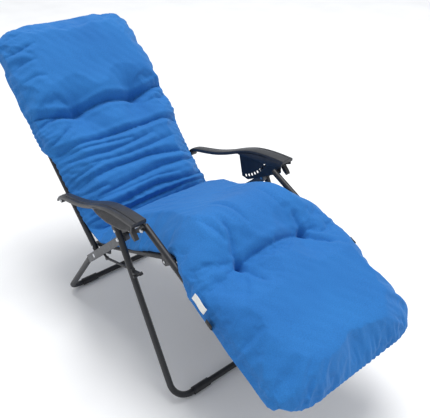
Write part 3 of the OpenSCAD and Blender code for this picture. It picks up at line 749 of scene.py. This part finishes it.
class RECLINER_OT_pad(bpy.types.Operator):
    """Make the tufted pad in closed sections that follow the back, the seat and the leg rest"""

    bl_idname = "recliner.pad"
    bl_label = "Pad"

    def execute(self, context):
        settings = context.scene.recliner_pad
        cover = pad_polyester(settings.light, settings.dark)
        whole, flat = build_pad("whole_pad", settings.full, cover)
        # The pad's cuts: above the crease, at it, before it on the seat, before the knee and at it
        cuts = [None, S_CREASE - 0.125 - 0.06, S_CREASE, S_CREASE + 0.125 + 0.02, S_KNEE - 0.115, S_KNEE, None]
        names = ["pad_back", "pad_back_crease", "pad_seat_crease",
                 "pad_seat", "pad_seat_knee", "pad_leg_rest"]
        pieces = {n: cut_pad(whole.data, flat, cuts[i], cuts[i + 1], n, cover) for i, n in enumerate(names)}
        bpy.data.objects.remove(whole)
        crease, knee = place(PAD_CREASE), place(PAD_KNEE)
        back_dir, seat_dir, leg_dir = (place(d) - place(d * 0) for d in (BACK_DIR, SEAT_DIR, LEG_DIR))
        blends = {
            "pad_back_crease": ("back_hinge", "back", crease + 0.055 * back_dir, crease + 0.150 * back_dir),
            "pad_seat_crease": ("back_hinge", "seat", crease + 0.050 * seat_dir, crease + 0.120 * seat_dir),
            "pad_seat_knee": ("knee_hinge", "seat", knee - 0.004 * seat_dir, knee - 0.085 * seat_dir),
            "pad_leg_rest": ("knee_hinge", "leg_rest", knee + 0.004 * leg_dir, knee + 0.085 * leg_dir),
        }
        for name, (a, b, start, end) in blends.items():
            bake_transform(pieces[name])
        for name, body, up, anchor in (("pad_back", "back", BACK_UP, on_back(0.3, 0, 0.011)),
                                       ("pad_seat", "seat", SEAT_UP, on_seat(0.2, 0, 0.011))):
            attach(pieces[name], body)
            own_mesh(pieces[name])
        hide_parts("back_cushion")
        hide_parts("seat_cushion")
        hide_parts("leg_rest_cushion")
        return {"FINISHED"}


# Top line of an armrest in the side profile, as in the part's source, in metres
ARM_TOP = [(-0.646, 0.452), (-0.628, 0.468), (-0.598, 0.480), (-0.536, 0.495), (-0.475, 0.512), (-0.415, 0.535),
           (-0.355, 0.562), (-0.296, 0.583), (-0.240, 0.594), (-0.190, 0.599), (-0.143, 0.601)]
ARM_INNER, ARM_OUTER, ARM_W = 0.2665, 0.316, 0.0495
# Section of the armrest: (outward from its inner face, above its top line); the dip is the moulded groove
ARM_SECTION = [(0.0015, -0.0130), (0.0, -0.0115), (0.0, -0.0036), (0.0009, -0.0014), (0.0030, -0.0003),
               (0.0120, 0.0008), (0.0230, 0.0011), (0.0325, 0.0006), (0.0340, -0.0002), (0.0346, -0.0019),
               (0.0366, -0.0020), (0.0374, -0.0004), (0.0400, 0.0000), (0.0450, -0.0008), (0.0481, -0.0028),
               (0.0495, -0.0060), (0.0495, -0.0118), (0.0480, -0.0130)]
OUTER_SKIRT = [(-0.372, 0.548), (-0.338, 0.538), (-0.286, 0.536), (-0.212, 0.548), (-0.147, 0.574),
               (-0.147, 0.590), (-0.240, 0.586), (-0.300, 0.574), (-0.355, 0.554)]
INNER_SKIRT = [(-0.372, 0.548), (-0.340, 0.546), (-0.286, 0.556), (-0.212, 0.560), (-0.147, 0.574),
               (-0.147, 0.590), (-0.240, 0.586), (-0.300, 0.574), (-0.355, 0.554)]
SKIRT_T = 0.0025


def smooth_line(points, count):
    """A Catmull-Rom line through the points."""
    p = np.array(points)
    p = np.vstack((p[:1], p, p[-1:]))
    out = []
    for i in range(1, len(p) - 2):
        a, b, c, d = p[i - 1 : i + 3]
        for t in np.arange(count) / count:
            out.append(0.5 * (2 * b + (c - a) * t + (2 * a - 5 * b + 4 * c - d) * t * t
                              + (3 * b - a - 3 * c + d) * t ** 3))
    return np.array(out + [p[-2]])


def height_between(points, x, upper):
    """Height of the upper or lower edge of a closed side-profile outline at x."""
    p = np.array(points)
    split = int(np.argmax(p[:, 0]))
    low, high = p[: split + 1], p[split + 1 :][::-1]
    edge = high if upper else low
    return float(np.interp(x, edge[:, 0], edge[:, 1]))


def plate(bm, outline, y0, y1, bevel):
    """Adds a plate of that side-profile outline between two distances across, with bevelled edges."""
    face = bm.faces.new([bm.verts.new(place(p, y0)) for p in outline])
    grown = bmesh.ops.extrude_face_region(bm, geom=[face])
    moved = [v for v in grown["geom"] if isinstance(v, bmesh.types.BMVert)]
    bmesh.ops.translate(bm, verts=moved, vec=(0, y1 - y0, 0))
    edges = {e for v in moved for e in v.link_edges} | set(face.edges)
    bmesh.ops.bevel(bm, geom=list(edges), offset=bevel, segments=2, profile=0.5, affect="EDGES", material=-1)


def post(bm, centre, radius, y0, y1, segments=32, bevel=0.0008):
    """Adds a round post along Y with bevelled rims."""
    turned = Matrix.Translation(place(centre, (y0 + y1) / 2)) @ Matrix.Rotation(math.pi / 2, 4, "X")
    made = bmesh.ops.create_cone(bm, cap_ends=True, segments=segments, radius1=radius, radius2=radius,
                                 depth=abs(y1 - y0), matrix=turned)
    edges = {e for v in made["verts"] for e in v.link_edges}
    rims = [e for e in edges if any(len(f.verts) > 4 for f in e.link_faces)]
    bmesh.ops.bevel(bm, geom=rims, offset=bevel, segments=2, profile=0.5, affect="EDGES", material=-1)


def armrest_form():
    """The left armrest: a swept slab with a groove, eased ends, two skirts, grip ribs and its hinge boss."""
    bm = bmesh.new()
    line = smooth_line(ARM_TOP, 6)
    stations = []
    for p in line:
        outer = np.interp(p[0], (-0.660, -0.300, -0.130), (0.299, 0.314, 0.316))
        stations.append((p, (outer - ARM_INNER) / ARM_W, 0.0))
    first, last = stations[0], stations[-1]
    front = [(last[0] + np.array((step, 0)), last[1], inset)
             for step, inset in ((0.0008, 0.0006), (0.0012, 0.0016))]
    rear = [(first[0] - np.array((0.0008, 0.0006)) * 1.5, first[1], 0.0014)]
    stations = rear + stations + front
    middle = np.array((ARM_W / 2, -0.0065))
    ring, cap = [], None
    for p, width, inset in stations:
        spots = []
        for q in np.array(ARM_SECTION):
            toward = middle - q
            q = q + toward * min(1, inset / np.hypot(*toward))
            spots.append(Vector((p[0] - MID_X, ARM_INNER + q[0] * width, p[1] + q[1])))
        if cap is None:
            ring = [bm.verts.new(q) for q in spots]
            cap = bm.faces.new(ring)
            continue
        grown = bmesh.ops.extrude_face_region(bm, geom=[cap])
        cap = next(f for f in grown["geom"] if isinstance(f, bmesh.types.BMFace))
        ring = [min(cap.verts, key=lambda v: (v.co - old.co).length) for old in ring]
        for v, q in zip(ring, spots):
            v.co = q
    plate(bm, OUTER_SKIRT, ARM_OUTER - 0.002 - SKIRT_T, ARM_OUTER - 0.002, 0.0006)
    plate(bm, INNER_SKIRT, ARM_INNER, ARM_INNER + SKIRT_T, 0.0006)
    for x in np.arange(-0.350, -0.152, 0.0062):
        low = height_between(OUTER_SKIRT, x, False) + 0.003
        high = height_between(OUTER_SKIRT, x, True) - 0.002
        if high - low > 0.004:
            plate(bm, [(x - 0.0015, low), (x + 0.0015, low), (x + 0.0015, high), (x - 0.0015, high)],
                  ARM_OUTER - 0.0022, ARM_OUTER - 0.0008, 0.0005)
    hinge = BACK_HINGE + 0.192 * BACK_DIR
    post(bm, hinge, 0.011, ARM_INNER, ARM_INNER + 0.026)
    return bm


class RECLINER_OT_armrests(bpy.types.Operator):
    """Mould the two waved armrests with their groove, skirts and grip ribs"""

    bl_idname = "recliner.armrests"
    bl_label = "Armrests"

    def execute(self, context):
        material = moulded_nylon("ArmrestNylon", "#26272A", "#333438", 800.0, 0.42)
        for side, sign in (("left", 1), ("right", -1)):
            bm = armrest_form()
            if sign < 0:
                bmesh.ops.scale(bm, vec=(1, -1, 1), verts=bm.verts)
            bmesh.ops.recalc_face_normals(bm, faces=bm.faces)
            obj = finish_mesh(bm, f"armrest_moulding_{side}", material, 35)
            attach(obj, f"armrest_{side}")
            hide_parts(f"armrest_{side}")
        return {"FINISHED"}


SLING_HALF = 0.205
HEM_R = 0.0032


def sling_form(at, x0, x1, z, sag):
    """A woven panel from x0 to x1 along a frame, hanging between its laced sides."""
    bm = bmesh.new()
    bmesh.ops.create_grid(bm, x_segments=40, y_segments=24, size=1.0)
    layer = bm.verts.layers.float_vector.new("cut")
    for v in bm.verts:
        a, b = v.co.x, v.co.y
        x, y = x0 + (a + 1) / 2 * (x1 - x0), b * SLING_HALF
        v[layer] = (x, y, 0)
        free = 1 - b ** 2
        v.co = at(x, y, z - free * (sag * (1 - 0.35 * a ** 4) + 0.0015 * math.sin(9 * b * a)))
    return bm


def hem_rod(bm, at, x0, x1, y, z):
    """The rolled side hem with its plastic rod, which the lacing pulls on."""
    start, end = at(x0, y, z), at(x1, y, z)
    along = end - start
    turned = Matrix.Translation((start + end) / 2) @ along.to_track_quat("Z", "Y").to_matrix().to_4x4()
    bmesh.ops.create_cone(bm, cap_ends=True, segments=14, radius1=HEM_R, radius2=HEM_R, depth=along.length,
                          matrix=turned)


def laced_path(at, x0, x1, count, inner, outer, z, sign, bend=0.0066):
    """A zigzag of cord between the hem and the tube, each turn rounded to a soft bend."""
    step = (x1 - x0) / count
    reach = bend * (math.hypot(step, outer - inner) / step - 1)
    sides = (inner - reach, outer + reach)
    corners = [np.array((x0 + i * step, sides[i % 2])) for i in range(count + 1)]
    path = [corners[0]]
    for a, b, c in zip(corners, corners[1:], corners[2:]):
        into, out = (b - a) / np.hypot(*(b - a)), (c - b) / np.hypot(*(c - b))
        turn = math.acos(float(np.clip(into @ out, -1, 1)))
        trim = bend * math.tan(turn / 2)
        way = math.copysign(1, into[0] * out[1] - into[1] * out[0])
        centre = b - trim * into + way * bend * np.array((-into[1], into[0]))
        spoke = b - trim * into - centre
        for k in range(7):
            angle = way * turn * k / 6
            path.append(centre + np.array((spoke[0] * math.cos(angle) - spoke[1] * math.sin(angle),
                                           spoke[0] * math.sin(angle) + spoke[1] * math.cos(angle))))
    path.append(corners[-1])
    return [at(float(p[0]), sign * float(p[1]), z) for p in path]


def add_thickness(obj, thickness, offset=-1.0):
    """Gives a sheet its wall."""
    wall = obj.modifiers.new("Thickness", "SOLIDIFY")
    wall.thickness = thickness
    wall.offset = offset


def add_sling(name, at, x0, x1, z, sag, cloth):
    """One stretched sling with its rolled hems, riding on the body it is named for."""
    bm = sling_form(at, x0, x1, z, sag)
    bmesh.ops.recalc_face_normals(bm, faces=bm.faces)
    sling = finish_mesh(bm, f"{name}_sling_cloth", cloth)
    add_thickness(sling, 0.0012, 0.0)
    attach(sling, name)
    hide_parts(f"{name}_sling")
    bm = bmesh.new()
    for sign in (-1, 1):
        hem_rod(bm, at, x0, x1, sign * SLING_HALF, z)
    hem = finish_mesh(bm, f"{name}_sling_hems", cloth, 40)
    keep_flat(hem.data, coordinates(hem.data))
    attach(hem, name)


def add_lacing(name, side, path, diameter, cord):
    """One elastic lacing cord along a path."""
    curve = bpy.data.curves.new(f"{name}_lacing_{side}_cord", "CURVE")
    curve.dimensions = "3D"
    spline = curve.splines.new("POLY")
    spline.points.add(len(path) - 1)
    for point, p in zip(spline.points, path):
        point.co = (*p, 1)
    curve.bevel_depth = diameter / 2
    curve.bevel_resolution = 3
    curve.use_fill_caps = True
    curve.materials.append(cord)
    obj = bpy.data.objects.new(curve.name, curve)
    bpy.context.scene.collection.objects.link(obj)
    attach(obj, name)
    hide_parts(f"{name}_lacing")


class RECLINER_OT_slings(bpy.types.Operator):
    """Hang the three woven slings with rolled hems and lace them to the tubes with elastic cord"""

    bl_idname = "recliner.slings"
    bl_label = "Slings and lacing"

    def execute(self, context):
        settings = context.scene.recliner_frame
        cloth, cord = sling_mesh(settings.colour), elastic_cord("#23314E")
        to_tube = TUBE_R + 0.0018
        # Each sling's ends and height, then its lacing's ends, turns and reach, and the tubes that hold it
        for name, at, x0, x1, z, lace, outer, tubes in (
            ("seat", on_seat, 0.045, SEAT_LEN - 0.052, -0.0052, (0.050, SEAT_LEN - 0.057, 14),
             RAIL_Y - to_tube, ["seat_front_cross_tube", "seat_rear_cross_tube"]),
            ("back", on_back, 0.092, BACK_LEN - 0.030, -0.0032, (0.098, BACK_LEN - 0.080, 26),
             FRAME_Y - to_tube, ["back_cross_tube", "back_tube"]),
            ("leg_rest", on_leg, 0.084, LEG_LEN - 0.028, KNEE_LUG - 0.0032, (0.092, LEG_LEN - 0.078, 12),
             FRAME_Y - to_tube, ["leg_rest_cross_tube", "leg_rest_tube"]),
        ):
            add_sling(name, at, x0, x1, z, settings.sag, cloth)
            for side, sign in (("left", 1), ("right", -1)):
                path = laced_path(at, *lace, SLING_HALF + 0.002, outer, z, sign)
                add_lacing(name, side, path, settings.cord, cord)
        return {"FINISHED"}


LABEL_X, LABEL_Y, LABEL_Z = 0.168, 0.2775, 0.048
LABEL_HALF_LONG, LABEL_HALF_HIGH = 0.027, 0.0115
STRAP_EDGES = (0.212, 0.237)
STRAP_GAP = 0.0022


def add_label():
    """The blank care label, stitched into the right side seam of the leg rest's pad."""
    satin = woven_tape("SatinLabelTape", "#F2F2EE", "#DCDCD6", 0.0012)
    bm = bmesh.new()
    bmesh.ops.create_grid(bm, x_segments=12, y_segments=6, size=1.0)
    for v in bm.verts:
        a, b = v.co.x, v.co.y
        outward = 0.004 * (b + 1) / 2 + 0.0012 * math.sin(3 * a)
        v.co = on_leg(LABEL_X + LABEL_HALF_LONG * a, -LABEL_Y - outward, LABEL_Z - LABEL_HALF_HIGH * b)
    bmesh.ops.recalc_face_normals(bm, faces=bm.faces)
    label = finish_mesh(bm, "care_label", satin)
    add_thickness(label, 0.0007)
    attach(label, "leg_rest")


def strap_route():
    """The strap's (across, up) points: down the pad's side, round the tube and across below the sling."""
    loop, high = TUBE_R + STRAP_GAP, KNEE_LUG
    half = [(FRAME_Y + loop + 0.022, high + 0.030), (FRAME_Y + loop + 0.018, high + 0.008),
            (FRAME_Y + loop + 0.008, high - 0.004)]
    half += [(FRAME_Y + loop * math.cos(a), high + loop * math.sin(a))
             for a in np.linspace(0, -math.pi / 2, 9)]
    half += [(0.20, high - loop - 0.004), (0.10, high - loop - 0.012), (0.0, high - loop - 0.014)]
    return [(-y, z) for y, z in half] + half[::-1][1:]


def add_strap():
    """The webbing strap that holds the pad to the leg rest."""
    webbing = woven_tape("BlackPolypropyleneWebbing", "#1B1C1F", "#0C0D0F", 0.0016)
    route = strap_route()
    bm = bmesh.new()
    edge = bm.edges.new([bm.verts.new(on_leg(x, *route[0])) for x in STRAP_EDGES])
    for y, z in route[1:]:
        grown = bmesh.ops.extrude_edge_only(bm, edges=[edge])
        edge = next(e for e in grown["geom"] if isinstance(e, bmesh.types.BMEdge))
        for v, x in zip(sorted(edge.verts, key=lambda v: v.co.x), STRAP_EDGES):
            v.co = on_leg(x, y, z)
    bmesh.ops.recalc_face_normals(bm, faces=bm.faces)
    strap = finish_mesh(bm, "leg_rest_strap_webbing", webbing, 60)
    add_thickness(strap, 0.0014)
    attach(strap, "leg_rest")
    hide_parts("leg_rest_strap")


class RECLINER_OT_trim(bpy.types.Operator):
    """Add the blank care label and the strap that holds the pad to the leg rest"""

    bl_idname = "recliner.trim"
    bl_label = "Label and strap"

    def execute(self, context):
        add_label()
        add_strap()
        return {"FINISHED"}


CLASSES = (PadSettings, FrameSettings, StageSettings, RECLINER_OT_stage, RECLINER_OT_finishes, RECLINER_OT_slings,
           RECLINER_OT_armrests, RECLINER_OT_pad, RECLINER_OT_trim)


class RECLINER_PT_panel(bpy.types.Panel):
    """Lists the recliner's settings and the operators that build it"""

    bl_idname = "RECLINER_PT_panel"
    bl_label = "Recliner"
    bl_space_type = "VIEW_3D"
    bl_region_type = "UI"
    bl_category = "Recliner"

    def draw(self, context):
        for cls in CLASSES:
            if issubclass(cls, bpy.types.Operator):
                self.layout.operator(cls.bl_idname)
        for group in ("recliner_pad", "recliner_frame", "recliner_stage"):
            settings = getattr(context.scene, group)
            for key in settings.bl_rna.properties.keys():
                if key not in ("rna_type", "name"):
                    self.layout.prop(settings, key)


def register():
    """Register the settings, operators and panel."""
    for cls in (*CLASSES, RECLINER_PT_panel):
        bpy.utils.register_class(cls)
    bpy.types.Scene.recliner_pad = bpy.props.PointerProperty(type=PadSettings)
    bpy.types.Scene.recliner_frame = bpy.props.PointerProperty(type=FrameSettings)
    bpy.types.Scene.recliner_stage = bpy.props.PointerProperty(type=StageSettings)


def unregister():
    """Take the settings, operators and panel away again."""
    for group in ("recliner_pad", "recliner_frame", "recliner_stage"):
        delattr(bpy.types.Scene, group)
    for cls in reversed((*CLASSES, RECLINER_PT_panel)):
        bpy.utils.unregister_class(cls)


def main():
    """Build everything round the frame."""
    register()
    bpy.ops.recliner.stage()
    bpy.ops.recliner.finishes()
    bpy.ops.recliner.slings()
    bpy.ops.recliner.armrests()
    bpy.ops.recliner.pad()
    bpy.ops.recliner.trim()


if __name__ == "__main__":
    main()
